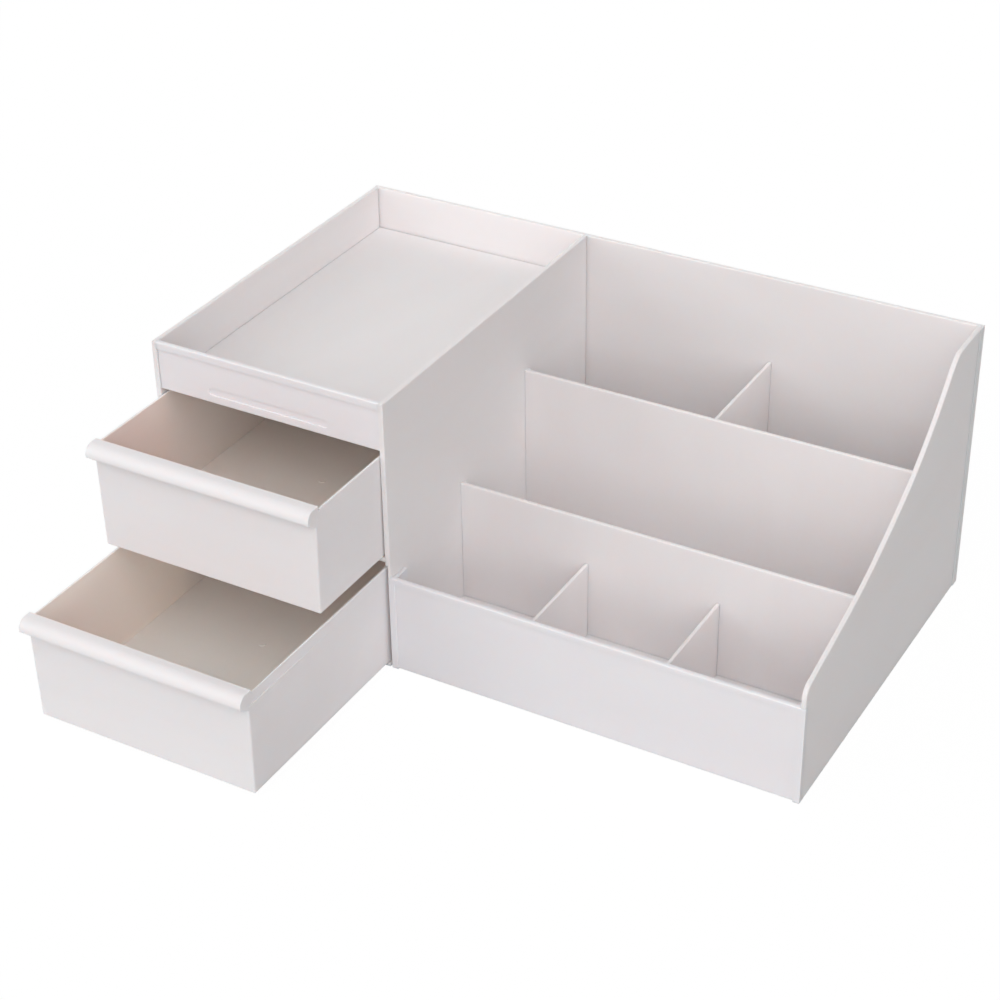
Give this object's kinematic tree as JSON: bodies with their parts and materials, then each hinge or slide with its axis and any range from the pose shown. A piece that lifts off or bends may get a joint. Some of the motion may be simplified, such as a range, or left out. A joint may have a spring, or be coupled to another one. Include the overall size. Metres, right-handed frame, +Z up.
{
  "type": "vanity organiser with drawers",
  "caption": "Tabletop vanity organiser: a drawer tower with a tray on top beside stepped open compartments for brushes and bottles.",
  "frame": {"origin": "middle of the cabinet's footprint, on the table", "axes": "+X to the right seen from the front, +Y from the front to the back, +Z up; the drawers open towards -Y"},
  "size_m": [0.3154, 0.2944, 0.1358],
  "materials": {
    "shell": "satin injection-moulded polystyrene, warm off-white",
    "drawer": "satin injection-moulded polystyrene, warm off-white, slightly translucent"
  },
  "bodies": {
    "cabinet": {"tower_floor": "shell", "organiser_floor": "shell", "left_side_panel": "shell", "middle_panel": "shell", "drawer_shelf": "shell", "tray_floor": "shell", "tray_front_panel": "shell", "front_panel": "shell", "right_side_panel": "shell", "back_panel": "shell", "rear_tier_wall": "shell", "front_tier_wall": "shell", "rear_divider": "shell", "front_divider_left": "shell", "front_divider_right": "shell"},
    "lower_drawer": {"lower_drawer": "drawer"},
    "upper_drawer": {"upper_drawer": "drawer"}
  },
  "joints": [
    {"name": "lower_drawer_slide", "type": "slide", "parent": "cabinet", "child": "lower_drawer", "axis": [0, -1, 0], "range_m": [-0.1036, 0.0162]},
    {"name": "upper_drawer_slide", "type": "slide", "parent": "cabinet", "child": "upper_drawer", "axis": [0, -1, 0], "range_m": [-0.0487, 0.0711]}
  ]
}
